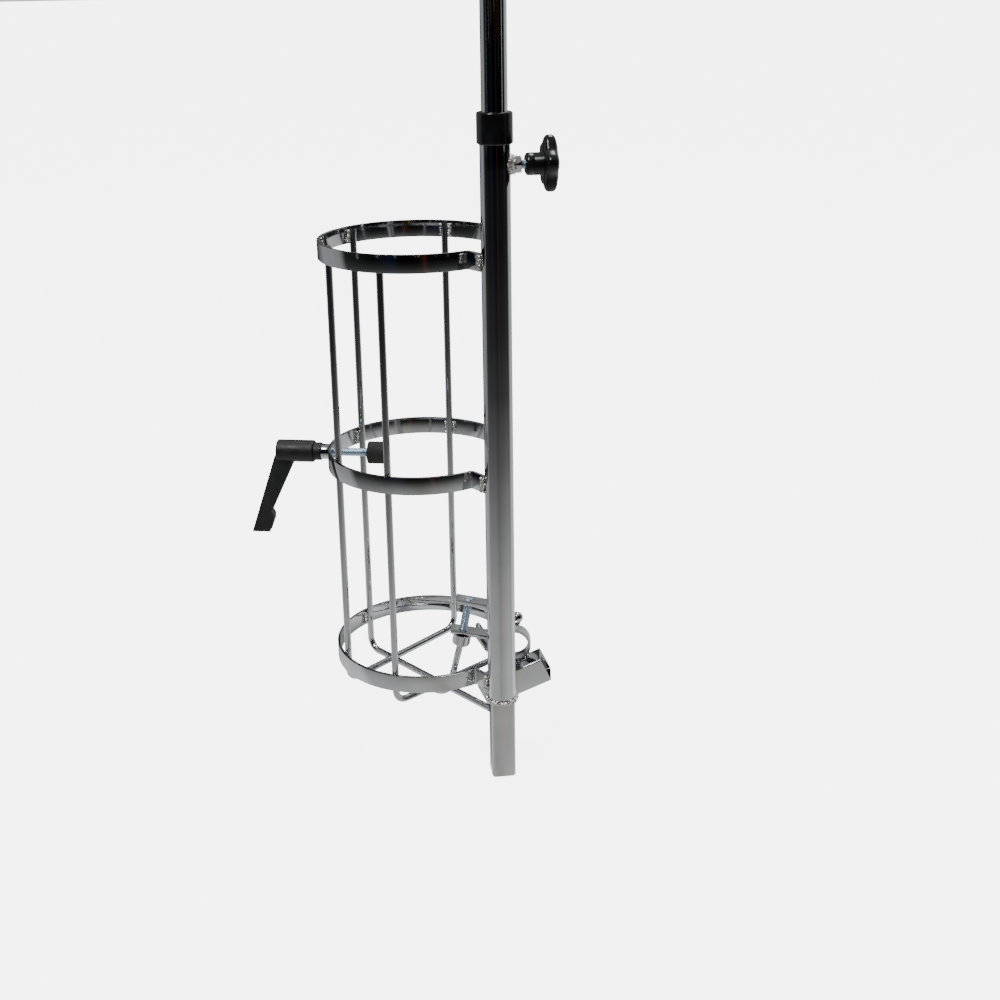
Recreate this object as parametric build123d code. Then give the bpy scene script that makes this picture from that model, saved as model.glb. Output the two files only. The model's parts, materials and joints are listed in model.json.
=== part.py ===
from build123d import *
import os
from math import cos, radians, sin, sqrt

# Telescopic infusion pole that plugs into a socket by its square stem, with a round cage
# beside it for a small gas cylinder and a clamp-on mounting bracket stored on the cage.
# Millimetres. The origin is the centre of the stem's lower end, +Z is up the pole, and
# +X is the way the height knob points.

# ---- pole ----
stem_side = 22.0
stem_corner = 3.0
stem_lead_in = 2.0
stem_length = 79.0
pole_od = 25.4
pole_wall = 1.5
pole_length = 527.0
stem_bead = 1.7

# ---- telescopic mast ----
mast_od = 21.7
mast_wall = 1.5
mast_length = 640.0
mast_foot = 350.0
running_gap = 0.05
bush_flange = 12.0
bush_spigot = 22.0

# ---- guide collar on the pole's mouth ----
collar_od = 30.0
collar_grip = 22.0
collar_lip = 4.0
collar_round = 1.8

# ---- hook head on the mast ----
hub_od = 28.0
hub_socket = 22.0
hub_crown = 13.0
hub_round = 5.0
hook_rod = 6.0
hook_root = 6.5
hook_points = ((38.0, 14.0), (58.0, -14.0), (84.0, -14.0), (90.0, 20.0))
hook_bend = 9.0
hook_ball = 9.0
hook_count = 2

# ---- height knob ----
knob_z = 567.0
thread_d = 8.0
nut_flats = 13.0
nut_height = 6.5
nut_face_x = 21.4
nut_bead = 1.8
hub_face_x = 24.6
star_x = 39.0
star_thick = 13.0
star_d = 48.0
star_web_d = 31.0
star_round = 2.0
lobe_d = 14.0
lobe_count = 5
lobe_phase = 100.0
knob_hub_d = 18.7
knob_hub_chamfer = 2.4
pad_d = 6.6
pad_thick = 2.0
pad_pin_d = 3.0
pad_pin_length = 3.0
pad_gap = 0.1

# ---- cylinder cage ----
cage_offset = 109.7
cage_heading = 124.4
ring_or = 86.0
band_thick = 3.0
band_height = 16.0
band_bend = 3.0
tab_side = 9.2
ring_tops = {"ring_bottom": 102.0, "ring_middle": 297.0, "ring_top": 494.5}
rod_d = 6.35
rod_below_top = 1.5
rod_bend = 12.0
floor_z = 71.0
back_rod_outer_z = 60.5
back_rod_inner_z = 66.5
bearing_back = 186.5
bearing_left = 252.5
bearing_front = 300.0
bearing_far = 120.0
bearing_hidden = 60.0
weld_bead = 1.7
tab_bead = 2.6
tab_weld_back = 9.0

# ---- clamping lever on the middle ring ----
lever_bearing = 222.0
lever_z = 289.0
boss_d = 14.5
boss_length = 8.2
lever_gap = 0.3
neck_d = 17.0
neck_length = 6.2
insert_d = 12.0
insert_length = 18.0
head_d = 21.0
head_length = 36.0
web_thick = 3.0
lift_travel = 3.5
lever_screw_d = 5.0
lever_screw_head_d = 9.4
spring_length = 5.3
arm_thick = 10.0
arm_reach = 82.0
arm_flare = 28.8
arm_root = 14.5
arm_tip = 17.0
arm_notch = 61.0
arm_notch_inset = 9.0
foot_d = 21.0
foot_length = 16.0
foot_inset = 36.5
foot_round = 1.2
foot_spigot_r = 3.0

# ---- mounting bracket, in a vertical plane turned by bracket_yaw ----
bracket_yaw = -9.0
socket_side = 25.0
socket_wall = 1.2
socket_corner = 1.6
socket_length = 67.0
socket_tilt = 26.0
socket_mouth = (40.9, 75.7)
socket_depth = 68.0
clamp_depth = 79.0
clamp_along = 20.0
clamp_bore = 28.0
clamp_band = 2.5
clamp_width = 14.0
bolt_d = 6.0
bolt_tilt = 32.5
bolt_offset = 20.9
bolt_head_d = 15.0
bolt_head_thick = 4.5
ear_near = 3.0
ear_slit = 3.0
ear_height = 6.5
acorn_flats = 12.0
acorn_depth = 5.0
washer_thick = 1.6
jaw_depth = 63.0
jaw_bore = 28.0
jaw_band = 4.0
jaw_width = 14.0
jaw_leg = 41.0
jaw_tilt = 10.5
jaw_centre = (-6.7, 124.7)
jaw_stud_d = 8.0
jaw_stud_along = 29.0
jaw_stud_proud = 0.8
jaw_boss_d = 17.5
jaw_boss_length = 11.0
lug_thick = 2.5
lug_width = 14.0
lug_at = -20.0
lug_rise = 14.5
hook_bar_d = 6.4
hook_bar_points = ((-54.0, 46.5), (-71.5, 51.5))
hook_bar_bend = 9.0

# ---- worked out ----
pole_r = pole_od / 2
pole_bore_r = pole_r - pole_wall
pole_top = stem_length + pole_length
mast_r = mast_od / 2
mast_bore_r = mast_r - mast_wall
mast_top = mast_foot + mast_length
thread_r = thread_d / 2
rod_circle = ring_or - band_thick - rod_d / 2
bolt_r = bolt_d / 2
cage_x = cage_offset * cos(radians(cage_heading))
cage_y = cage_offset * sin(radians(cage_heading))
cage = Pos(cage_x, cage_y, 0) * Rot(0, 0, cage_heading + 180)
BASE = (Align.CENTER, Align.CENTER, Align.MIN)


def disc(radius, z0, z1):
    """Upright cylinder from z0 to z1."""
    return Pos(0, 0, z0) * Cylinder(radius, z1 - z0, align=BASE)


def sleeve(outer, inner, z0, z1):
    """Upright tube from z0 to z1."""
    return disc(outer, z0, z1) - disc(inner, z0 - 1, z1 + 1)


def hexagon(flats, height, bore_r=0.0):
    """Hexagonal nut from z 0 up, with its corners broken by a cone at the outer face."""
    body = extrude(RegularPolygon(flats / 2, 6, major_radius=False), height)
    cone = Cone(flats / 2 + 0.2 + height * 1.73, flats / 2 + 0.2, height, align=BASE)
    body = body & cone
    if bore_r:
        body = body - disc(bore_r, -1, height + 1)
    return body


# ---------------------------------------------------------------- pole

def stem():
    bar = extrude(RectangleRounded(stem_side, stem_side, stem_corner), stem_length)
    return chamfer(bar.faces().sort_by(Axis.Z)[0].edges(), stem_lead_in)


def knob_drilling():
    """Clearance for the knob's stud and pad, along +X from the pole's axis."""
    drill = Plane(origin=(0, 0, knob_z), z_dir=(1, 0, 0))
    return drill.location * disc(thread_r + 0.5, 0, pole_od)


def pole_tube():
    return sleeve(pole_r, pole_bore_r, stem_length, pole_top) - knob_drilling()


def stem_weld(stem_part):
    ring = Pos(0, 0, stem_length) * Torus(pole_r + stem_bead * 0.55, stem_bead)
    return ring - stem_part - disc(pole_r, stem_length, stem_length + 4)


def guide_collar():
    grip_z = pole_top - collar_grip
    top = pole_top + collar_lip
    body = disc(collar_od / 2, grip_z, top)
    body = fillet(body.edges(), collar_round)
    return body - disc(pole_r, grip_z - 1, pole_top) - disc(mast_r + running_gap, pole_top - 1, top + 1)


# ---------------------------------------------------------------- mast

def mast_tube():
    return sleeve(mast_r, mast_bore_r, mast_foot, mast_top)


def glide_bush():
    flange = disc(pole_bore_r - running_gap, mast_foot - bush_flange, mast_foot - 0.1)
    spigot = disc(mast_bore_r - running_gap, mast_foot - 0.1, mast_foot + bush_spigot)
    bore = disc(mast_bore_r - 2.5, mast_foot - bush_flange - 1, mast_foot + bush_spigot + 1)
    return flange + spigot - bore


def hook_bar():
    """One bag hook, out along +X from the hub: up over a crest, down to a valley, up to a ball."""
    start_z = mast_top + hub_crown / 2
    points = [(hook_root, 0, start_z)]
    points += [(x, 0, start_z + rise) for x, rise in hook_points]
    path = FilletPolyline(*points, radius=hook_bend)
    section = Plane(origin=path @ 0, z_dir=path % 0) * Circle(hook_rod / 2)
    return sweep(section, path=path) + Pos(*points[-1]) * Sphere(hook_ball / 2)


def hooks():
    bar = hook_bar()
    return [Rot(0, 0, 360 * i / hook_count) * bar for i in range(hook_count)]


def hook_hub(bars):
    body = disc(hub_od / 2, mast_top - hub_socket, mast_top + hub_crown)
    body = fillet(body.faces().sort_by(Axis.Z)[-1].edges(), hub_round)
    body = chamfer(body.faces().sort_by(Axis.Z)[0].edges(), 1.5)
    body = body - disc(mast_r, mast_top - hub_socket - 1, mast_top)
    for bar in bars:
        body = body - bar
    return body


# ---------------------------------------------------------------- knob

def on_knob_axis(shape):
    """Stand a shape made along +Z on the knob's axis, its z counted as x."""
    return Plane(origin=(0, 0, knob_z), x_dir=(0, 1, 0), z_dir=(1, 0, 0)).location * shape


def knob_nut():
    nut = Pos(0, 0, nut_face_x - nut_height) * hexagon(nut_flats, nut_height, thread_r + running_gap)
    return on_knob_axis(nut)


def knob_nut_weld(nut):
    foot_x = nut_face_x - nut_height
    sunk = 4.0
    height = foot_x + nut_bead - pole_r + sunk
    cone = Cone(nut_flats * 0.72, nut_flats * 0.55, height, align=BASE)
    bead = on_knob_axis(Pos(0, 0, pole_r - sunk) * cone - disc(thread_r + 0.5, 0, pole_od))
    return bead - disc(pole_r, knob_z - 20, knob_z + 20) - nut


def knob_stud():
    tip = mast_r + pad_gap + pad_thick + 0.1
    stud = disc(thread_r, tip, star_x + star_thick * 0.45)
    pin_hole = disc(pad_pin_d / 2 + running_gap, tip - 1, tip + pad_pin_length + 0.3)
    return on_knob_axis(stud - pin_hole)


def pressure_pad():
    face = mast_r + pad_gap
    button = disc(pad_d / 2, face, face + pad_thick)
    pin = disc(pad_pin_d / 2, face + pad_thick, face + pad_thick + pad_pin_length)
    return on_knob_axis(button + pin)


def star_knob(stud):
    lobes = Circle(star_web_d / 2)
    for i in range(lobe_count):
        turn = lobe_phase + 360 * i / lobe_count
        lobes = lobes + Rot(0, 0, turn) * Pos(star_d / 2 - lobe_d / 2, 0) * Circle(lobe_d / 2)
    star = extrude(lobes, star_thick)
    star = fillet(star.faces().sort_by(Axis.Z)[-1].edges(), star_round)
    hub = disc(knob_hub_d / 2, hub_face_x - star_x, 1)
    hub = chamfer(hub.faces().sort_by(Axis.Z)[0].edges(), knob_hub_chamfer)
    return on_knob_axis(Pos(0, 0, star_x) * (star + hub)) - stud


# ---------------------------------------------------------------- cage

def band_edge(shift):
    """One edge of a keyhole band, its centreline moved out by shift.

    The band runs round the ring and turns out to the pole, which both its ends meet head-on.
    Local +x points from the cage's axis to the pole.
    """
    mid_r = ring_or - band_thick / 2
    turn_y = tab_side + band_bend
    turn_x = sqrt((mid_r + band_bend) ** 2 - turn_y ** 2)
    reach = sqrt(turn_x ** 2 + turn_y ** 2)
    r = band_bend - shift
    lines = []
    for s in (-1, 1):
        centre = Vector(turn_x, s * turn_y)
        on_tab = Vector(turn_x, s * (tab_side + shift))
        on_ring = centre * (1 - r / reach)
        middle = ((on_tab - centre).normalized() + (on_ring - centre).normalized()).normalized()
        lines.append(Line(Vector(cage_offset, s * (tab_side + shift)), on_tab))
        lines.append(ThreePointArc(on_tab, centre + middle * r, on_ring))
    low = lines[1] @ 1
    high = lines[3] @ 1
    lines.append(ThreePointArc(low, Vector(-(mid_r + shift), 0), high))
    return lines


def ring(top_z):
    outer = band_edge(band_thick / 2)
    inner = band_edge(-band_thick / 2)
    ends = [Line(outer[i] @ 0, inner[i] @ 0) for i in (0, 2)]
    face = make_face([*outer, *inner, *ends])
    band = cage * Pos(0, 0, top_z - band_height) * extrude(face, band_height)
    return band - disc(pole_r, top_z - band_height - 1, top_z + 1)


def cage_point(bearing, z, r=rod_circle):
    return Vector(r * cos(radians(bearing)), r * sin(radians(bearing)), z)


def swept_rod(points):
    path = FilletPolyline(*points, radius=rod_bend)
    section = Plane(origin=path @ 0, z_dir=path % 0) * Circle(rod_d / 2)
    return sweep(section, path=path)


def cage_u_rod(bearing_1, bearing_2):
    """A rod up the inside of the rings, across the floor and up the other side."""
    top = ring_tops["ring_top"] - rod_below_top
    points = [cage_point(bearing_1, top), cage_point(bearing_1, floor_z),
              cage_point(bearing_2, floor_z), cage_point(bearing_2, top)]
    return cage * swept_rod(points)


def back_rod(stem_part):
    """The rod behind the cage; it bends under the others and is welded to the stem."""
    top = ring_tops["ring_top"] - rod_below_top
    stem_face = cage.inverse() * Pos(-stem_side / 2 + 0.5, 1.5, back_rod_inner_z)
    points = [cage_point(bearing_back, top), cage_point(bearing_back, back_rod_outer_z), stem_face.position]
    return cage * swept_rod(points) - stem_part


def tab_welds(pole, rings):
    """A bead in the corner between each tab's end and the pole."""
    beads = []
    for top_z in ring_tops.values():
        for s in (-1, 1):
            spot = Pos(cage_offset - tab_weld_back, s * (tab_side + band_thick / 2 + 0.6), top_z - band_height + 1.5)
            bead = cage * spot * Cylinder(tab_bead, band_height - 3, align=BASE)
            beads.append(bead - pole - rings)
    return beads


def rod_welds():
    """Two beads where each rod passes each ring."""
    beads = []
    for top_z in ring_tops.values():
        for bearing in (bearing_back, bearing_left, bearing_front, bearing_far, bearing_hidden):
            for s in (-1, 1):
                spot = Rot(0, 0, bearing) * Pos(ring_or - band_thick - 1.3, s * (rod_d / 2 + 0.6),
                                                 top_z - band_height + 2)
                bead = spot * Cylinder(weld_bead, band_height - 5, align=BASE)
                bead = bead & disc(ring_or - band_thick, top_z - band_height, top_z)
                rod = Pos(*cage_point(bearing, 0)) * disc(rod_d / 2, top_z - band_height, top_z)
                beads.append(cage * (bead - rod))
    return beads


# ---------------------------------------------------------------- clamping lever

lever_heading = radians(cage_heading + 180 + lever_bearing)
lever_out = Vector(cos(lever_heading), sin(lever_heading), 0)
lever_plane = Plane(origin=(cage_x, cage_y, lever_z), x_dir=(0, 0, -1), z_dir=lever_out)
boss_face = ring_or + boss_length
neck_face = boss_face + lever_gap
head_face = neck_face + neck_length
web_face = head_face + insert_length + 1
foot_back = ring_or - foot_inset
screw_seat = web_face + web_thick + lift_travel + spring_length + 0.2


def turned(radius, s0, s1):
    """Cylinder on the lever's axis between two distances from the cage's axis."""
    return lever_plane.location * disc(radius, s0, s1)


def lever_boss():
    bore = turned(thread_r + running_gap, ring_or - 5, boss_face + 5)
    return turned(boss_d / 2, ring_or, boss_face) - bore - cage * disc(ring_or, lever_z - 20, lever_z + 20)


def lever_stud():
    spigot = turned(foot_spigot_r, foot_back - 7, foot_back + 0.4)
    return turned(thread_r, foot_back + 0.4, head_face + 11) + spigot


def lever_foot():
    body = disc(foot_d / 2, foot_back - foot_length, foot_back)
    body = fillet(body.edges(), foot_round)
    body = body - disc(foot_spigot_r + running_gap, foot_back - 7.3, foot_back + 1)
    return lever_plane.location * body


def lever_insert(stud):
    neck = turned(neck_d / 2, neck_face, head_face)
    spline = turned(insert_d / 2, head_face, head_face + insert_length)
    tapping = turned(lever_screw_d / 2, head_face + 5, head_face + insert_length + 1)
    return neck + spline - stud - tapping


def lever_screw():
    shank = turned(lever_screw_d / 2, head_face + 12, screw_seat)
    return shank + turned(lever_screw_head_d / 2, screw_seat, screw_seat + 3)


def lever_spring():
    return turned(4.6, screw_seat - spring_length, screw_seat) - turned(3.2, screw_seat - 9, screw_seat + 1)


def lever_handle():
    end = head_face + head_length
    across = Vector(0, 0, -1).cross(lever_out)
    down = Plane(origin=(cage_x, cage_y, lever_z), x_dir=(0, 0, -1), z_dir=across)
    inner = end + arm_notch_inset
    outline = Polyline((2, end - arm_root), (12, end - arm_root), (arm_notch, inner),
                       (arm_notch + 4, inner - 2.2), (arm_notch + 9, inner - 1.7),
                       (arm_reach, end + arm_flare - arm_tip), (arm_reach, end + arm_flare),
                       (5, end + 2.5), (2, end + 1.0), close=True)
    arm = extrude(down * make_face(outline), arm_thick / 2, both=True)
    head = disc(head_d / 2, head_face + lever_gap, end)
    head = fillet(head.edges(), 1.5)
    body = lever_plane.location * head + arm
    bore = turned(insert_d / 2 + running_gap, head_face - 1, web_face)
    screw_way = turned(lever_screw_d / 2 + 0.3, web_face - 1, end + 1)
    pocket = turned(lever_screw_head_d / 2 + 0.4, web_face + web_thick, end - 2)
    return body - bore - screw_way - pocket


# ---------------------------------------------------------------- mounting bracket

side_way = Vector(cos(radians(bracket_yaw)), sin(radians(bracket_yaw)), 0)
depth_way = Vector(-sin(radians(bracket_yaw)), cos(radians(bracket_yaw)), 0)
up_way = Vector(0, 0, 1)


def bracket_point(p, z, depth):
    return side_way * p + up_way * z + depth_way * depth


def bracket_plane(depth):
    """Drawing plane of the bracket: x to its side, y up."""
    return Plane(origin=depth_way * depth, x_dir=side_way, z_dir=depth_way * -1)


def tilted(angle):
    return side_way * cos(radians(angle)) + up_way * sin(radians(angle))


def slab(sketch, depth, width):
    return extrude(bracket_plane(depth) * sketch, width / 2, both=True)


socket_way = tilted(socket_tilt)
clamp_or = clamp_bore / 2 + clamp_band
clamp_rise = socket_side / 2 + clamp_or
tilt_cos = cos(radians(socket_tilt))
tilt_sin = sin(radians(socket_tilt))
clamp_p = socket_mouth[0] - clamp_along * tilt_cos - clamp_rise * tilt_sin
clamp_z = socket_mouth[1] - clamp_along * tilt_sin + clamp_rise * tilt_cos
bolt_p = clamp_p - bolt_offset * sin(radians(bolt_tilt))
bolt_z = clamp_z + bolt_offset * cos(radians(bolt_tilt))
bolt_centre = bracket_point(bolt_p, bolt_z, clamp_depth)
bolt_plane = Plane(origin=bolt_centre, x_dir=depth_way, z_dir=tilted(bolt_tilt))
ear_far = ear_near + clamp_band + ear_slit
nut_seat = ear_far + clamp_band + washer_thick


def on_bolt(shape):
    """Stand a shape made along +Z on the cross bolt's axis."""
    return bolt_plane.location * shape


def socket_tube():
    plane = Plane(origin=bracket_point(*socket_mouth, socket_depth), x_dir=depth_way, z_dir=socket_way)
    bore_side = socket_side - 2 * socket_wall
    outside = RectangleRounded(socket_side, socket_side, socket_corner)
    bore = RectangleRounded(bore_side, bore_side, socket_corner / 2)
    return extrude(plane * (outside - bore), -socket_length)


def loop_clamp():
    """Split band with two ears for the cross bolt, welded on top of the socket."""
    ears = Pos(bolt_p, bolt_z) * Rot(0, 0, bolt_tilt)
    band = Pos(clamp_p, clamp_z) * Circle(clamp_or)
    for start in (ear_near, ear_far):
        ear = Rectangle(clamp_band, ear_height + bolt_offset)
        band = band + ears * Pos(start + clamp_band / 2, (ear_height - bolt_offset) / 2) * ear
    band = band - Pos(clamp_p, clamp_z) * Circle(clamp_bore / 2)
    slit = Pos(ear_near + clamp_band + ear_slit / 2, 0) * Rectangle(ear_slit, 2 * bolt_offset)
    band = band - ears * slit
    body = slab(band, clamp_depth, clamp_width)
    body = body - on_bolt(disc(bolt_r + 0.2, 0, 20))
    return body


def cross_bolt():
    seat = lug_at - lug_thick / 2 - 0.2
    head = disc(bolt_head_d / 2, seat - bolt_head_thick, seat)
    head = fillet(head.faces().sort_by(Axis.Z)[0].edges(), 1.5)
    slot = Pos(0, 0, seat - bolt_head_thick) * Box(bolt_head_d, 1.6, 3.0)
    shank = disc(bolt_r, seat, nut_seat + acorn_depth)
    return on_bolt(head - slot + shank)


def acorn_nut():
    base = hexagon(acorn_flats, acorn_depth)
    dome = Pos(0, 0, acorn_depth) * (Sphere(acorn_flats / 2 - 0.4) & disc(acorn_flats, 0, acorn_flats))
    return on_bolt(Pos(0, 0, nut_seat) * (base + dome - disc(bolt_r, -1, acorn_depth)))


def bolt_washer():
    return on_bolt(sleeve(bolt_d, bolt_r + 0.1, nut_seat - washer_thick, nut_seat))


def bracket_weld(tube, clamp):
    """The bead that joins the clamp's band to the socket's upper face."""
    foot_p = clamp_p + clamp_or * tilt_sin
    foot_z = clamp_z - clamp_or * tilt_cos
    near_face = clamp_depth - clamp_width / 2
    beads = []
    for along in (-5.5, 5.5):
        spot = bracket_point(foot_p + along * tilt_cos, foot_z + along * tilt_sin + 0.6, near_face)
        bead = Plane(origin=spot, z_dir=depth_way).location * Cylinder(2.4, 8.0, align=BASE)
        beads.append(bead - tube - clamp)
    return beads


jaw_axis = Vector(-cos(radians(jaw_tilt)), sin(radians(jaw_tilt)))
jaw_frame = Pos(*jaw_centre) * Rot(0, 0, 180 - jaw_tilt)
jaw_outer = jaw_bore / 2 + jaw_band
jaw_stud_p = jaw_centre[0] + jaw_stud_along * jaw_axis.X
jaw_stud_z = jaw_centre[1] + jaw_stud_along * jaw_axis.Y
jaw_down = tilted(-90 - jaw_tilt)
jaw_stud_centre = bracket_point(jaw_stud_p, jaw_stud_z, jaw_depth)
jaw_stud_plane = Plane(origin=jaw_stud_centre, x_dir=depth_way, z_dir=jaw_down)


def on_jaw_stud(shape):
    """Stand a shape on the jaw stud's axis, +Z down, zero at the jaw's centreline."""
    return jaw_stud_plane.location * shape


def swivel_jaw():
    """U-shaped clamp with two straight legs, and a lug for the cross bolt."""
    half = jaw_bore / 2
    outline = Circle(jaw_outer) + Pos(jaw_leg / 2, 0) * Rectangle(jaw_leg, 2 * jaw_outer)
    inside = Circle(half) + Pos(jaw_leg / 2 + 1, 0) * Rectangle(jaw_leg + 2, jaw_bore)
    body = slab(jaw_frame * (outline - inside), jaw_depth, jaw_width)
    front = clamp_depth - jaw_depth + jaw_width / 2
    plate = Pos((lug_width / 2 - front) / 2, (lug_rise - lug_width / 2) / 2, lug_at)
    plate = plate * Box(front + lug_width / 2, lug_rise + lug_width / 2, lug_thick)
    lug_body = on_bolt(fillet(plate.edges().filter_by(Axis.Z), 4.0))
    hollow = slab(jaw_frame * inside, jaw_depth, 60)
    body = body + (lug_body - hollow)
    body = body - on_bolt(disc(bolt_r + 0.1, lug_at - 5, lug_at + 5))
    return body - on_jaw_stud(disc(jaw_stud_d / 2 + 0.15, -2 * jaw_outer, 2 * jaw_outer))


def jaw_stud():
    return on_jaw_stud(disc(jaw_stud_d / 2, -jaw_outer - jaw_stud_proud, jaw_outer + washer_thick + 6))


def jaw_washer():
    return on_jaw_stud(sleeve(jaw_boss_d / 2 + 1, jaw_stud_d / 2 + 0.1, jaw_outer, jaw_outer + washer_thick))


def jaw_boss(stud):
    top = jaw_outer + washer_thick
    body = disc(jaw_boss_d / 2, top, top + jaw_boss_length)
    body = fillet(body.faces().sort_by(Axis.Z)[-1].edges(), 3.0)
    return on_jaw_stud(body) - stud


def hook_rod_bar(boss, stud):
    start = jaw_stud_centre + jaw_down * (jaw_outer + jaw_boss_length - 4)
    points = [start] + [bracket_point(p, z, jaw_depth) for p, z in hook_bar_points]
    path = FilletPolyline(*points, radius=hook_bar_bend)
    section = Plane(origin=path @ 0, z_dir=path % 0) * Circle(hook_bar_d / 2)
    tip = Pos(*points[-1]) * Sphere(hook_bar_d / 2)
    return sweep(section, path=path) + tip - boss - stud


# ---------------------------------------------------------------- write the pieces

def build():
    parts = {}
    parts["stem"] = stem()
    parts["pole_tube"] = pole_tube()
    parts["stem_weld"] = stem_weld(parts["stem"])
    parts["guide_collar"] = guide_collar()
    parts["mast_tube"] = mast_tube()
    parts["glide_bush"] = glide_bush()
    bars = hooks()
    for i, bar in enumerate(bars):
        parts[f"bag_hook_{i + 1}"] = bar
    parts["hook_hub"] = hook_hub(bars)

    parts["knob_nut"] = knob_nut()
    parts["knob_nut_weld"] = knob_nut_weld(parts["knob_nut"])
    parts["knob_stud"] = knob_stud()
    parts["pressure_pad"] = pressure_pad()
    parts["star_knob"] = star_knob(parts["knob_stud"])

    for name, top_z in ring_tops.items():
        parts[name] = ring(top_z)
    stud_way = turned(thread_r + 0.5, ring_or - 10, ring_or + 10)
    parts["ring_middle"] = parts["ring_middle"] - stud_way
    parts["cage_rod_left"] = cage_u_rod(bearing_left, bearing_far)
    parts["cage_rod_front"] = cage_u_rod(bearing_front, bearing_hidden)
    parts["cage_rod_back"] = back_rod(parts["stem"])
    rings = parts["ring_bottom"] + parts["ring_middle"] + parts["ring_top"]
    parts["tab_welds"] = tab_welds(disc(pole_r, stem_length, pole_top), rings)
    parts["rod_welds"] = rod_welds()

    parts["lever_boss"] = lever_boss()
    parts["lever_stud"] = lever_stud()
    parts["lever_foot"] = lever_foot()
    parts["lever_insert"] = lever_insert(parts["lever_stud"])
    parts["lever_screw"] = lever_screw()
    parts["lever_spring"] = lever_spring()
    parts["lever_handle"] = lever_handle()

    parts["socket_tube"] = socket_tube()
    parts["loop_clamp"] = loop_clamp()
    parts["cross_bolt"] = cross_bolt()
    parts["bolt_washer"] = bolt_washer()
    parts["acorn_nut"] = acorn_nut()
    parts["bracket_weld"] = bracket_weld(parts["socket_tube"], parts["loop_clamp"])
    parts["swivel_jaw"] = swivel_jaw()
    parts["jaw_stud"] = jaw_stud()
    parts["jaw_washer"] = jaw_washer()
    parts["jaw_boss"] = jaw_boss(parts["jaw_stud"])
    parts["hook_rod"] = hook_rod_bar(parts["jaw_boss"], parts["jaw_stud"])
    return parts


def write(parts):
    os.makedirs("parts", exist_ok=True)
    for name, piece in parts.items():
        solids = []
        for item in (piece if isinstance(piece, list) else [piece]):
            solids += item.solids()
        shape = solids[0] if len(solids) == 1 else Compound(children=solids)
        export_step(shape, f"parts/{name}.step")


write(build())
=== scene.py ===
"""Looks of the infusion pole with its cylinder cage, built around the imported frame. Metres, row frame."""

import json
import math

import bmesh
import bpy
from mathutils import Matrix, Vector


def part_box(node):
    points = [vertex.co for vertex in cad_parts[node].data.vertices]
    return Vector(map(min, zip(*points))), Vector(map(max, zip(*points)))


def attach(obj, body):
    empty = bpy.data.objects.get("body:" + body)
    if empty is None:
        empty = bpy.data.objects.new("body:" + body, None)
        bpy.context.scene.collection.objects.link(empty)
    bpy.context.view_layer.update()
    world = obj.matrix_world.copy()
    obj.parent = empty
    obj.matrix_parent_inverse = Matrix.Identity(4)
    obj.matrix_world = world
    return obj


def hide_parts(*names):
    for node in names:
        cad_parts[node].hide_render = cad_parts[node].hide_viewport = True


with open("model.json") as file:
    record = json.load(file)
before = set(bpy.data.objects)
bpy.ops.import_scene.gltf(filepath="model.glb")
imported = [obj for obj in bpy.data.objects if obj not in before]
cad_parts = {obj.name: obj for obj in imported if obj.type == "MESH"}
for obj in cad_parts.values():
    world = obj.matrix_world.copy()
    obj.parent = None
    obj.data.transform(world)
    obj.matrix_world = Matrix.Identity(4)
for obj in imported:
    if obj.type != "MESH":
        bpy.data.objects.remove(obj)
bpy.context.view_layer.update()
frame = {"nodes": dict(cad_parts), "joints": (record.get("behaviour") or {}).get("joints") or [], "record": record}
NODES = frame["nodes"]
JOINTS = {joint["name"]: joint for joint in frame["joints"]}
BODY = {node: body for body, nodes in frame["record"]["behaviour"]["bodies"].items() for node in nodes}
MM = 0.001

# ------------------------------------------------------------------ materials

NOISE_LOW = 0.3
NOISE_HIGH = 0.7
FULL_TURN = 360


def grey(value):
    return (value, value, value)


def new_material(name):
    mat = bpy.data.materials.new(name)
    mat.use_nodes = True
    tree = mat.node_tree
    return mat, tree, tree.nodes["Principled BSDF"]


def noise_value(tree, scale, detail):
    """A noise in the row's own coordinates."""
    coord = tree.nodes.new("ShaderNodeTexCoord")
    tex = tree.nodes.new("ShaderNodeTexNoise")
    tex.inputs["Scale"].default_value = scale
    tex.inputs["Detail"].default_value = detail
    tree.links.new(coord.outputs["Object"], tex.inputs["Vector"])
    return tex.outputs["Fac"]


def ramp(tree, source, stops):
    """A colour ramp over source, with a (place, colour) pair for each stop, in order."""
    node = tree.nodes.new("ShaderNodeValToRGB")
    elements = node.color_ramp.elements
    first, *between, last = stops
    elements[0].position = first[0]
    elements[0].color = (*first[1], 1)
    elements[1].position = last[0]
    elements[1].color = (*last[1], 1)
    for place, colour in between:
        elements.new(place).color = (*colour, 1)
    tree.links.new(source, node.inputs["Fac"])
    return node.outputs["Color"]


def spread(tree, source, low, high):
    """The noise's middle range stretched to run from low to high."""
    node = tree.nodes.new("ShaderNodeMapRange")
    node.inputs["From Min"].default_value = NOISE_LOW
    node.inputs["From Max"].default_value = NOISE_HIGH
    node.inputs["To Min"].default_value = low
    node.inputs["To Max"].default_value = high
    tree.links.new(source, node.inputs["Value"])
    return node.outputs["Result"]


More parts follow.
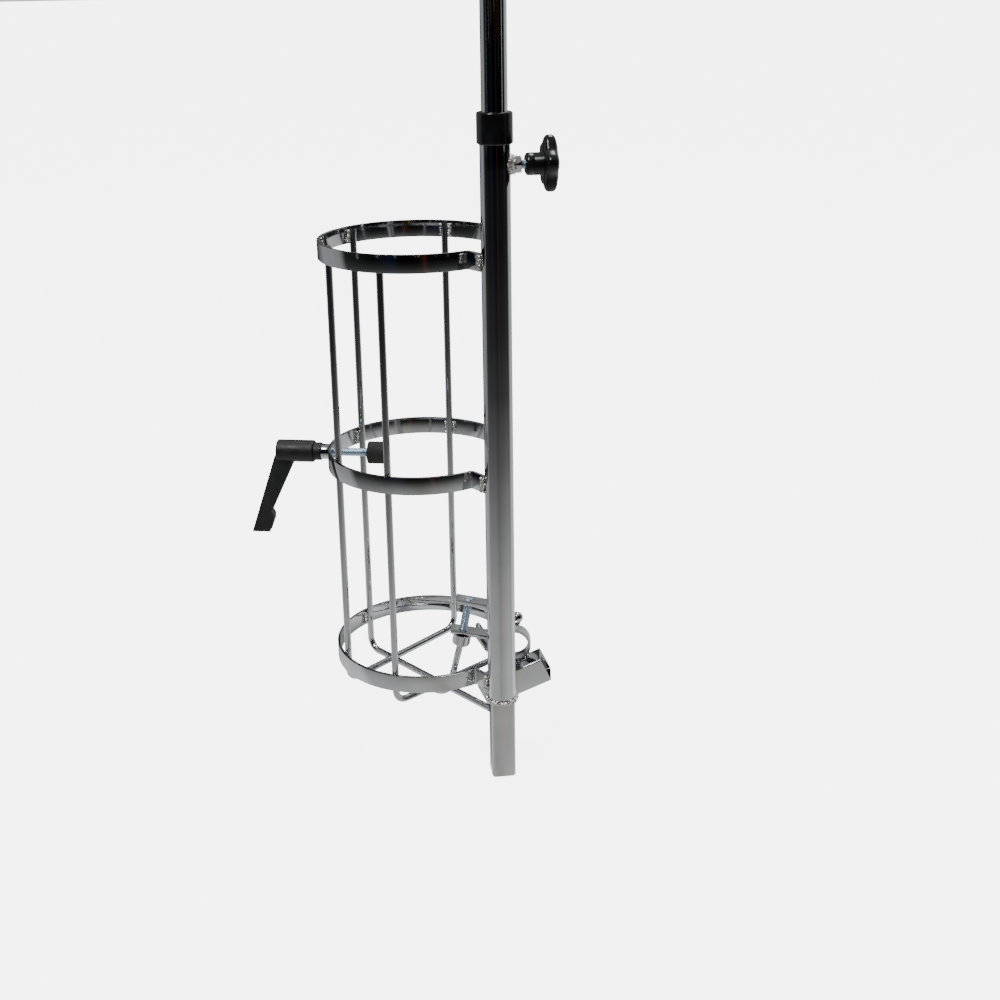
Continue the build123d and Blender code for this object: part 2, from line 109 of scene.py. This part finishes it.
def surface(name, light, dark, metal, rough, scale, bump, fine):
    """One finish: colour and roughness vary with a noise of one scale, and a finer one lifts the surface."""
    mat, tree, bsdf = new_material(name)
    wide = noise_value(tree, scale, 4.0)
    colour = ramp(tree, wide, ((NOISE_LOW, dark), (NOISE_HIGH, light)))
    tree.links.new(colour, bsdf.inputs["Base Color"])
    tree.links.new(spread(tree, wide, *rough), bsdf.inputs["Roughness"])
    bsdf.inputs["Metallic"].default_value = metal
    lift = tree.nodes.new("ShaderNodeBump")
    lift.inputs["Strength"].default_value = 1.0
    lift.inputs["Distance"].default_value = bump
    tree.links.new(noise_value(tree, fine, 3.0), lift.inputs["Height"])
    tree.links.new(lift.outputs["Normal"], bsdf.inputs["Normal"])
    return mat


CHROME = surface("chrome", light=(0.60, 0.61, 0.62), dark=(0.52, 0.53, 0.54),
                 metal=1.0, rough=(0.025, 0.06), scale=30.0, bump=0.000015, fine=70.0)
BAND = surface("chrome_band", light=(0.60, 0.61, 0.62), dark=(0.50, 0.51, 0.52),
               metal=1.0, rough=(0.05, 0.12), scale=40.0, bump=0.00005, fine=60.0)
WELD = surface("weld", light=(0.90, 0.88, 0.84), dark=(0.62, 0.60, 0.56),
               metal=0.9, rough=(0.10, 0.25), scale=300.0, bump=0.00012, fine=900.0)
ZINC = surface("zinc", light=(0.66, 0.80, 0.92), dark=(0.52, 0.64, 0.75),
               metal=0.85, rough=(0.18, 0.32), scale=220.0, bump=0.00001, fine=900.0)
GLOSS = surface("black_gloss", light=(0.006, 0.006, 0.007), dark=(0.003, 0.003, 0.003),
                metal=0.0, rough=(0.16, 0.26), scale=90.0, bump=0.000003, fine=900.0)
MATT = surface("black_matt", light=(0.013, 0.013, 0.014), dark=(0.007, 0.007, 0.008),
               metal=0.0, rough=(0.42, 0.58), scale=120.0, bump=0.00002, fine=1900.0)
RUBBER = surface("rubber", light=(0.022, 0.021, 0.020), dark=(0.010, 0.010, 0.010),
                 metal=0.0, rough=(0.60, 0.80), scale=150.0, bump=0.00008, fine=1500.0)
BRASS = surface("brass", light=(0.70, 0.53, 0.25), dark=(0.55, 0.40, 0.18),
                metal=1.0, rough=(0.20, 0.35), scale=300.0, bump=0.00002, fine=1800.0)
NYLON = surface("nylon", light=(0.75, 0.74, 0.68), dark=(0.62, 0.61, 0.55),
                metal=0.0, rough=(0.35, 0.50), scale=200.0, bump=0.00002, fine=1200.0)
STEEL = surface("spring_steel", light=(0.42, 0.42, 0.43), dark=(0.28, 0.28, 0.29),
                metal=1.0, rough=(0.25, 0.40), scale=300.0, bump=0.00002, fine=1800.0)


def repaint(node, mat):
    """A CAD node that keeps its own object gets another material."""
    slots = NODES[node].data.materials
    slots.clear()
    slots.append(mat)


# ------------------------------------------------------------------ mesh helpers

SAME_POINT = 1e-6
FLAT_ENOUGH = 0.4  # degrees
HARD_EDGE = 38.0  # degrees


def finish_piece(name, bm, mat, node, sharp):
    """A bmesh becomes a named piece that stands for a CAD node and rides its body."""
    mesh = bpy.data.meshes.new(name)
    bm.to_mesh(mesh)
    bm.free()
    mesh.shade_smooth()
    mesh.set_sharp_from_angle(angle=math.radians(sharp))
    obj = bpy.data.objects.new(name, mesh)
    bpy.context.scene.collection.objects.link(obj)
    mesh.materials.append(mat)
    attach(obj, BODY[node])
    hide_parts(node)
    return obj


def cad_mesh(node):
    """A copy of a CAD node's mesh with its doubled points joined."""
    bm = bmesh.new()
    bm.from_mesh(NODES[node].data)
    bmesh.ops.remove_doubles(bm, verts=bm.verts, dist=SAME_POINT)
    return bm


def eased(node, mat, width):
    """The CAD node's own shape with its hard edges eased by width mm."""
    bm = cad_mesh(node)
    bmesh.ops.dissolve_limit(bm, angle_limit=math.radians(FLAT_ENOUGH), verts=bm.verts, edges=bm.edges)
    limit = math.radians(HARD_EDGE)
    hard = [edge for edge in bm.edges if len(edge.link_faces) == 2 and edge.calc_face_angle(0) > limit]
    bmesh.ops.bevel(bm, geom=hard, offset=width * MM, segments=2, profile=0.6, affect="EDGES",
                    clamp_overlap=True)
    finish_piece(node + ".skin", bm, mat, node, sharp=32.0)


def lumpy(node, mat, size, depth, voxel):
    """The CAD node's shape pushed in and out by lumps of size mm over depth mm, as a weld bead is."""
    obj = finish_piece(node + ".bead", cad_mesh(node), mat, node, sharp=80.0)
    remesh = obj.modifiers.new("even", "REMESH")
    remesh.mode = "VOXEL"
    remesh.voxel_size = voxel * MM
    remesh.use_smooth_shade = True
    soften = obj.modifiers.new("soften", "SMOOTH")
    soften.factor = 0.6
    soften.iterations = 6
    clouds = bpy.data.textures.new(node + ".lumps", "CLOUDS")
    clouds.noise_scale = size * MM
    push = obj.modifiers.new("lumps", "DISPLACE")
    push.texture = clouds
    push.texture_coords = "LOCAL"
    push.mid_level = 0.5
    push.strength = depth * MM


def axis_frame(origin, along, side=(0, 0, 1)):
    """Matrix that stands local +Z along an axis through origin, with local +X towards side."""
    z = Vector(along).normalized()
    x = (Vector(side) - Vector(side).dot(z) * z).normalized()
    y = z.cross(x)
    matrix = Matrix((x, y, z)).transposed().to_4x4()
    matrix.translation = Vector(origin)
    return matrix


def ring_of_points(bm, place, around, height, radius_at):
    """Points round place's axis at a height; radius_at gives the radius at a share of a turn. All in mm."""
    ring = []
    for k in range(around):
        turn = 2 * math.pi * k / around
        r = radius_at(k / around)
        point = Vector((r * math.cos(turn), r * math.sin(turn), height)) * MM
        ring.append(bm.verts.new(place @ point))
    return ring


def close_rings(bm, rings):
    """Faces between the rings of a stack, and one across each end."""
    for low, high in zip(rings, rings[1:]):
        for k in range(len(low)):
            n = (k + 1) % len(low)
            bm.faces.new((low[k], low[n], high[n], high[k]))
    bm.faces.new(list(reversed(rings[0])))
    bm.faces.new(rings[-1])


def lathe(bm, place, profile, around=64):
    """A closed turned solid from (radius, height) pairs in mm, bottom to top."""
    close_rings(bm, [ring_of_points(bm, place, around, height, lambda share, r=radius: r)
                     for radius, height in profile])


def span(node, origin, way):
    """(least, most) distance in mm of a CAD node's points along an axis."""
    reach = [(v.co - origin).dot(way) / MM for v in NODES[node].data.vertices]
    return min(reach), max(reach)


def middle(node):
    """Mean of a CAD node's points."""
    points = [v.co for v in NODES[node].data.vertices]
    return sum(points, Vector()) / len(points)


# ------------------------------------------------------------------ chrome work, welds and plain pieces

RINGS = ("ring_bottom", "ring_middle", "ring_top")
BANDS = (*RINGS, "loop_clamp", "swivel_jaw")
EASED = ("stem", *RINGS, "socket_tube", "loop_clamp", "swivel_jaw", "knob_nut", "jaw_washer",
         "bolt_washer", "acorn_nut", "cross_bolt", "lever_boss")
AS_MODELLED = ("pole_tube", "mast_tube", "hook_hub", "bag_hook_1", "bag_hook_2", "cage_rod_left",
               "cage_rod_front", "cage_rod_back", "jaw_boss", "hook_rod")
WELDED = ("stem_weld", "knob_nut_weld", "tab_welds", "rod_welds", "bracket_weld")
OTHER_FINISH = {"guide_collar": GLOSS, "lever_handle": MATT, "lever_foot": RUBBER, "lever_insert": MATT,
                "lever_screw": ZINC, "lever_spring": STEEL, "pressure_pad": BRASS, "glide_bush": NYLON}
RING_EASE = 0.5  # mm
EASE = 0.3  # mm
LUMP_SIZE = 1.6  # mm
LUMP_DEPTH = 2.6  # mm
BEAD_VOXEL = 0.28  # mm

for node in EASED:
    eased(node, BAND if node in BANDS else CHROME, RING_EASE if node in RINGS else EASE)
for node in AS_MODELLED:
    repaint(node, CHROME)
for node in WELDED:
    lumpy(node, WELD, LUMP_SIZE, LUMP_DEPTH, BEAD_VOXEL)
for node, mat in OTHER_FINISH.items():
    repaint(node, mat)

# ------------------------------------------------------------------ threads

PITCH = 1.25  # mm
THREAD_DEPTH = 0.62  # mm
THREAD_AROUND = 48
ROWS_PER_PITCH = 8
GROOVE_REACH = 1.15
GROOVE_FLANK = 1.5
END_GROOVE = 0.55  # share of the depth that is left at the rod's ends
END_CHAMFER = 0.5  # mm off the radius at the rod's ends
STUD_RADIUS = 4.0  # mm
SPIGOT_RADIUS = 3.0  # mm
SPIGOT_LENGTH = 7.6  # mm
SPIGOT_SUNK = 0.2  # mm of the spigot inside the thread
SPIGOT_AROUND = 32
THREAD_SHARP = 25.0  # degrees


def threaded(bm, place, radius, z0, z1):
    """A closed rod with a single-start thread, from z0 to z1 mm along place's axis."""
    rows = max(2, int((z1 - z0) / (PITCH / ROWS_PER_PITCH)))
    rings = []
    for i in range(rows + 1):
        z = z0 + (z1 - z0) * i / rows
        inward = min(1.0, (z - z0) / PITCH, (z1 - z) / PITCH)

        def radius_at(share, z=z, inward=inward):
            tooth = 1.0 - abs(2 * ((z / PITCH - share) % 1.0) - 1)
            groove = THREAD_DEPTH * min(1.0, max(0.0, GROOVE_REACH - GROOVE_FLANK * tooth))
            return radius - groove * (END_GROOVE + (1 - END_GROOVE) * inward) - END_CHAMFER * (1 - inward)

        rings.append(ring_of_points(bm, place, THREAD_AROUND, z, radius_at))
    close_rings(bm, rings)


def knob_stud(at, way):
    low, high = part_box("knob_stud")
    bm = bmesh.new()
    threaded(bm, axis_frame(at, way), (high.z - low.z) / 2 / MM, low.x / MM, high.x / MM)
    finish_piece("knob_stud.thread", bm, ZINC, "knob_stud", THREAD_SHARP)


def lever_stud():
    """Threaded stud with a plain spigot where it goes into the rubber foot."""
    at = Vector(JOINTS["lever_turn"]["pos_m"])
    way = Vector(JOINTS["lever_turn"]["axis"]).normalized()
    near, far = span("lever_stud", at, way)
    place = axis_frame(at, way)
    bm = bmesh.new()
    threaded(bm, place, STUD_RADIUS, near + SPIGOT_LENGTH - SPIGOT_SUNK, far)
    lathe(bm, place, ((SPIGOT_RADIUS, near), (SPIGOT_RADIUS, near + SPIGOT_LENGTH)), SPIGOT_AROUND)
    finish_piece("lever_stud.thread", bm, ZINC, "lever_stud", THREAD_SHARP)


def jaw_stud():
    at = middle("jaw_stud")
    way = (middle("jaw_washer") - at).normalized()
    bm = bmesh.new()
    threaded(bm, axis_frame(at, way, (1, 0, 0)), STUD_RADIUS, *span("jaw_stud", at, way))
    finish_piece("jaw_stud.thread", bm, ZINC, "jaw_stud", THREAD_SHARP)


# ------------------------------------------------------------------ height knob

KNOB_RADIUS = 23.9  # mm
KNOB_AROUND = 160
LOBES = 5
LOBE_PHASE = math.radians(100)
LOBE_MEAN = 0.90
LOBED_ABOVE = 0.5  # shares of the radius under this are round
# (share of the outline's radius, mm along the axis) of the knob's moulded head, back to front
KNOB_HEAD = ((0.30, 39.2), (0.70, 39.4), (0.90, 39.9), (0.97, 41.0), (1.0, 42.6), (1.0, 46.2), (0.97, 47.8),
             (0.91, 48.9), (0.80, 49.9), (0.62, 50.8), (0.40, 51.5), (0.20, 51.85), (0.04, 51.95))
# (radius, mm along the axis) of its hub, from the nut to the head
KNOB_HUB = ((4.1, 24.6), (7.2, 24.7), (8.9, 25.8), (9.35, 27.2), (9.35, 31.5), (9.15, 31.8), (9.35, 32.1),
            (9.35, 37.6), (10.2, 39.0), (10.2, 39.6))


def lobes(share):
    """Outline of the five-lobed knob, as a share of its largest radius."""
    return LOBE_MEAN + (1 - LOBE_MEAN) * math.cos(LOBES * (2 * math.pi * share - LOBE_PHASE))


def star_knob(at, way):
    place = axis_frame(at, way, (0, 1, 0))
    bm = bmesh.new()
    rings = []
    for size, along in KNOB_HEAD:
        lobed = size > LOBED_ABOVE

        def radius_at(share, size=size, lobed=lobed):
            return KNOB_RADIUS * size * (lobes(share) if lobed else LOBE_MEAN)

        rings.append(ring_of_points(bm, place, KNOB_AROUND, along, radius_at))
    close_rings(bm, rings)
    lathe(bm, place, KNOB_HUB)
    finish_piece("star_knob.moulding", bm, GLOSS, "star_knob", sharp=40.0)


knob_at = Vector(JOINTS["knob_turn"]["pos_m"])
knob_way = Vector(JOINTS["knob_turn"]["axis"])
knob_stud(knob_at, knob_way)
star_knob(knob_at, knob_way)
lever_stud()
jaw_stud()

# ------------------------------------------------------------------ stage: a pale floor, and a room painted into the chrome's reflections

FLOOR_REACH = 70.0
FLOOR_GLOW = 5.0
FLOOR_PAINT = 0.8
ROOM_RADIUS = 4.2
ROOM_HEIGHT = 5.0
ROOM_FLOOR_RADIUS = 4.3
ROOM_FLOOR_HOLE = 0.004
ROOM_FLOOR_Z = -0.002
WALL_FOOT_Z = -0.01
ROOM_AROUND = 96
WALL_SHARE = 0.8
CEILING_GLOW = 0.35
STRIP_RADIUS = 3.9
STRIP_TOP = 4.5
# (bearing from +X in degrees, glow) round the room's floor and wall: painted reflections and highlights in the
# chrome
# The floor's dim sector near 262° is painted shadow
FLOOR_BY_BEARING = ((0, grey(1.1)), (20, grey(0.9)), (46, grey(0.6)), (95, grey(0.5)), (122, grey(0.35)),
                    (145, grey(0.9)), (190, grey(1.0)), (230, (0.98, 0.98, 0.95)), (262, (0.78, 0.78, 0.72)),
                    (285, (0.95, 0.95, 0.92)), (334, grey(1.25)), (359, grey(1.1)))
WALL_BY_BEARING = ((0, grey(0.30)), (15, grey(0.7)), (50, grey(0.9)), (85, grey(0.35)), (100, grey(0.02)),
                   (112, grey(0.10)), (135, (0.5, 0.52, 0.55)), (168, (0.45, 0.45, 0.46)), (178, grey(0.03)),
                   (215, grey(0.006)), (238, (0.008, 0.012, 0.03)), (250, grey(0.003)), (272, grey(0.003)),
                   (277, (0.07, 0.02, 0.012)), (281, grey(0.004)), (320, grey(0.006)), (345, grey(0.02)))
# (metres from the pole, share of the floor's glow): painted shade, the reflected floor darker farther from the
# pole
FLOOR_REACHES = ((0.0, 0.66), (0.18, 0.62), (0.44, 0.42), (0.65, 0.26), (0.86, 0.15), (1.2, 0.06),
                 (1.55, 0.03), (2.5, 0.01), (5.0, 0.004))
FARTHEST = FLOOR_REACHES[-1][0]
# (bearing from +X in degrees, width in metres, lowest point, colour, strength) of painted reflections of lamps and
# coloured things
STRIPS = ((196, 0.06, 0.1, (0.9, 0.95, 1.0), 0.5), (222, 0.04, 0.5, (0.9, 0.9, 0.9), 0.7),
          (243, 0.05, 0.55, (0.9, 0.8, 0.5), 0.35), (266, 0.04, 0.6, (0.8, 0.2, 0.1), 0.5),
          (270, 0.05, 0.6, (0.9, 0.75, 0.3), 0.5), (290, 0.06, 0.5, (0.5, 0.25, 0.12), 0.3),
          (305, 0.10, 0.4, (0.6, 0.65, 0.7), 0.12), (335, 0.14, 0.1, (1.0, 1.0, 1.0), 1.2))


def stage_piece(name, points, faces, mat):
    mesh = bpy.data.meshes.new(name)
    mesh.from_pydata(points, [], faces)
    obj = bpy.data.objects.new(name, mesh)
    bpy.context.scene.collection.objects.link(obj)
    mesh.materials.append(mat)
    return obj


def only_reflected(obj):
    """A wall or lamp of the room is a painted reflection: it shows in the chrome, and neither lights nor hides
    anything else.
    """
    obj.visible_camera = False
    obj.visible_diffuse = False
    obj.visible_shadow = False
    obj.visible_transmission = False


def circle(radius, z):
    turns = [2 * math.pi * k / ROOM_AROUND for k in range(ROOM_AROUND)]
    return [(radius * math.cos(turn), radius * math.sin(turn), z) for turn in turns]


def room_piece(name, loop_1, loop_2, mat):
    """A closed strip between two circles of points, seen only in reflections: a painted reflection."""
    count = len(loop_1)
    faces = [(k, (k + 1) % count, count + (k + 1) % count, count + k) for k in range(count)]
    only_reflected(stage_piece(name, loop_1 + loop_2, faces, mat))


def glowing_material(name, paint):
    """A surface with no gloss of its own, ready to be given a glow."""
    mat, tree, bsdf = new_material(name)
    bsdf.inputs["Base Color"].default_value = (*grey(paint), 1)
    bsdf.inputs["Specular IOR Level"].default_value = 0.0
    return mat, tree, bsdf


def glowing(name, colour, strength, paint=0.0):
    mat, _, bsdf = glowing_material(name, paint)
    bsdf.inputs["Roughness"].default_value = 1.0
    bsdf.inputs["Emission Color"].default_value = (*colour, 1)
    bsdf.inputs["Emission Strength"].default_value = strength
    return mat


def calculated(tree, operation, *values):
    """A maths node's result; each value is a number or a socket."""
    node = tree.nodes.new("ShaderNodeMath")
    node.operation = operation
    for i, value in enumerate(values):
        if isinstance(value, float):
            node.inputs[i].default_value = value
        else:
            tree.links.new(value, node.inputs[i])
    return node.outputs[0]


def mixed(tree, kind, share, under, over):
    """Two colours blended the way kind says; under may be None for black."""
    node = tree.nodes.new("ShaderNodeMix")
    node.data_type = "RGBA"
    node.blend_type = kind
    node.inputs["Factor"].default_value = share
    if under is None:
        node.inputs["A"].default_value = (0, 0, 0, 1)
    else:
        tree.links.new(under, node.inputs["A"])
    tree.links.new(over, node.inputs["B"])
    return node.outputs["Result"]


def by_bearing(tree, bearing, stops):
    return ramp(tree, bearing, [(degrees / FULL_TURN, colour) for degrees, colour in stops])


def room_paint(name, is_floor):
    """The room's painted reflection, its glow by bearing from +X. The floor adds its own, with painted shade that
    darkens it with distance from the pole.
    """
    mat, tree, bsdf = glowing_material(name, 0.0)
    bsdf.inputs["Emission Strength"].default_value = 1.0
    coord = tree.nodes.new("ShaderNodeTexCoord")
    split = tree.nodes.new("ShaderNodeSeparateXYZ")
    tree.links.new(coord.outputs["Object"], split.inputs["Vector"])
    x = split.outputs["X"]
    y = split.outputs["Y"]
    angle = calculated(tree, "ARCTAN2", y, x)
    bearing = calculated(tree, "FRACT", calculated(tree, "MULTIPLY_ADD", angle, 1 / (2 * math.pi), 1.0))
    under = None
    if is_floor:
        x_squared = calculated(tree, "MULTIPLY", x, x)
        y_squared = calculated(tree, "MULTIPLY", y, y)
        squares = calculated(tree, "ADD", x_squared, y_squared)
        reach = calculated(tree, "MULTIPLY", calculated(tree, "SQRT", squares), 1 / FARTHEST)
        # Painted shade: the reflected floor's glow darkens with distance from the pole
        painted_floor_shade = ramp(tree, reach, [(metres / FARTHEST, grey(value)) for metres, value in FLOOR_REACHES])
        under = mixed(tree, "MULTIPLY", 1.0, by_bearing(tree, bearing, FLOOR_BY_BEARING), painted_floor_shade)
    total = mixed(tree, "ADD", WALL_SHARE, under, by_bearing(tree, bearing, WALL_BY_BEARING))
    tree.links.new(total, bsdf.inputs["Emission Color"])
    return mat


def square(reach, z):
    return [(-reach, -reach, z), (reach, -reach, z), (reach, reach, z), (-reach, reach, z)]


def floor():
    """A floor that glows pale to the camera. The room's own floor stands for it in reflections."""
    mat = glowing("floor", (1.0, 1.0, 1.0), FLOOR_GLOW, FLOOR_PAINT)
    obj = stage_piece("floor", square(FLOOR_REACH, 0), [(0, 1, 2, 3)], mat)
    obj.visible_glossy = False
    obj.visible_diffuse = False


def strip(name, bearing, width, low, colour, strength):
    """A glowing upright strip near the room's wall that faces the pole: a painted reflection that lights nothing.
    """
    away = Vector((math.cos(math.radians(bearing)), math.sin(math.radians(bearing)), 0))
    side = Vector((-away.y, away.x, 0)) * width / 2
    left = away * STRIP_RADIUS - side
    right = away * STRIP_RADIUS + side
    foot = Vector((0, 0, low))
    top = Vector((0, 0, STRIP_TOP))
    corners = [left + foot, right + foot, right + top, left + top]
    only_reflected(stage_piece(name, corners, [(0, 1, 2, 3)], glowing(name, colour, strength)))


floor()
# Room floor, wall, strips and ceiling: glowing painted reflections, seen only in the chrome and lighting nothing
room_piece("room_floor", circle(ROOM_FLOOR_HOLE, ROOM_FLOOR_Z),
           circle(ROOM_FLOOR_RADIUS, ROOM_FLOOR_Z), room_paint("room_floor", True))
room_piece("room_wall", circle(ROOM_RADIUS, WALL_FOOT_Z), circle(ROOM_RADIUS, ROOM_HEIGHT),
           room_paint("room_wall", False))
for i, lamp in enumerate(STRIPS):
    strip(f"strip_{i}", *lamp)
# Painted reflection: a dim glowing ceiling, seen only in the chrome
only_reflected(stage_piece("ceiling", square(ROOM_HEIGHT, ROOM_HEIGHT), [(0, 3, 2, 1)],
                           glowing("ceiling", (1, 1, 1), CEILING_GLOW)))

# ------------------------------------------------------------------ light and camera

WORLD_STRENGTH = 0.8
LAMP_TARGET = (0, 0, 0.3)
LAMP_POWER = 40
HEADING = 6.6657  # degrees from +Y towards +X
TILT = 17.4532  # degrees below level
ROLL = -0.9963  # degrees
EYE = (-0.142403, -1.082272, 0.712)
LENS = 47.99
SENSOR = 36.0
SHIFT = (0.0204, -0.1024)
CLIP = (0.05, 300)


def white_world():
    world = bpy.data.worlds.new("room")
    bpy.context.scene.world = world
    world.use_nodes = True
    background = world.node_tree.nodes["Background"]
    background.inputs["Color"].default_value = (1.0, 1.0, 1.0, 1)
    background.inputs["Strength"].default_value = WORLD_STRENGTH


def soft_lamp(name, place, size):
    """A round area lamp that points at the cage."""
    data = bpy.data.lights.new(name, "AREA")
    data.shape = "DISK"
    data.size = size
    data.energy = LAMP_POWER
    obj = bpy.data.objects.new(name, data)
    bpy.context.scene.collection.objects.link(obj)
    obj.location = place
    obj.rotation_mode = "QUATERNION"
    obj.rotation_quaternion = (Vector(LAMP_TARGET) - Vector(place)).to_track_quat("-Z", "Y")


def place_camera():
    data = bpy.data.cameras.new("camera")
    obj = bpy.data.objects.new("camera", data)
    bpy.context.scene.collection.objects.link(obj)
    bpy.context.scene.camera = obj
    heading = math.radians(HEADING)
    tilt = math.radians(TILT)
    roll = math.radians(ROLL)
    look = Vector((math.sin(heading) * math.cos(tilt), math.cos(heading) * math.cos(tilt), -math.sin(tilt)))
    level = Vector((math.cos(heading), -math.sin(heading), 0))
    upright = level.cross(look)
    right = math.cos(roll) * level + math.sin(roll) * upright
    up = math.cos(roll) * upright - math.sin(roll) * level
    data.sensor_width = SENSOR
    data.lens = LENS
    data.shift_x, data.shift_y = SHIFT
    data.clip_start, data.clip_end = CLIP
    matrix = Matrix((right, up, -look)).transposed().to_4x4()
    matrix.translation = EYE
    obj.matrix_world = matrix


white_world()
soft_lamp("key", (-1.2, -1.0, 2.6), 0.9)
soft_lamp("top", (0.6, 1.2, 3.0), 1.2)
place_camera()
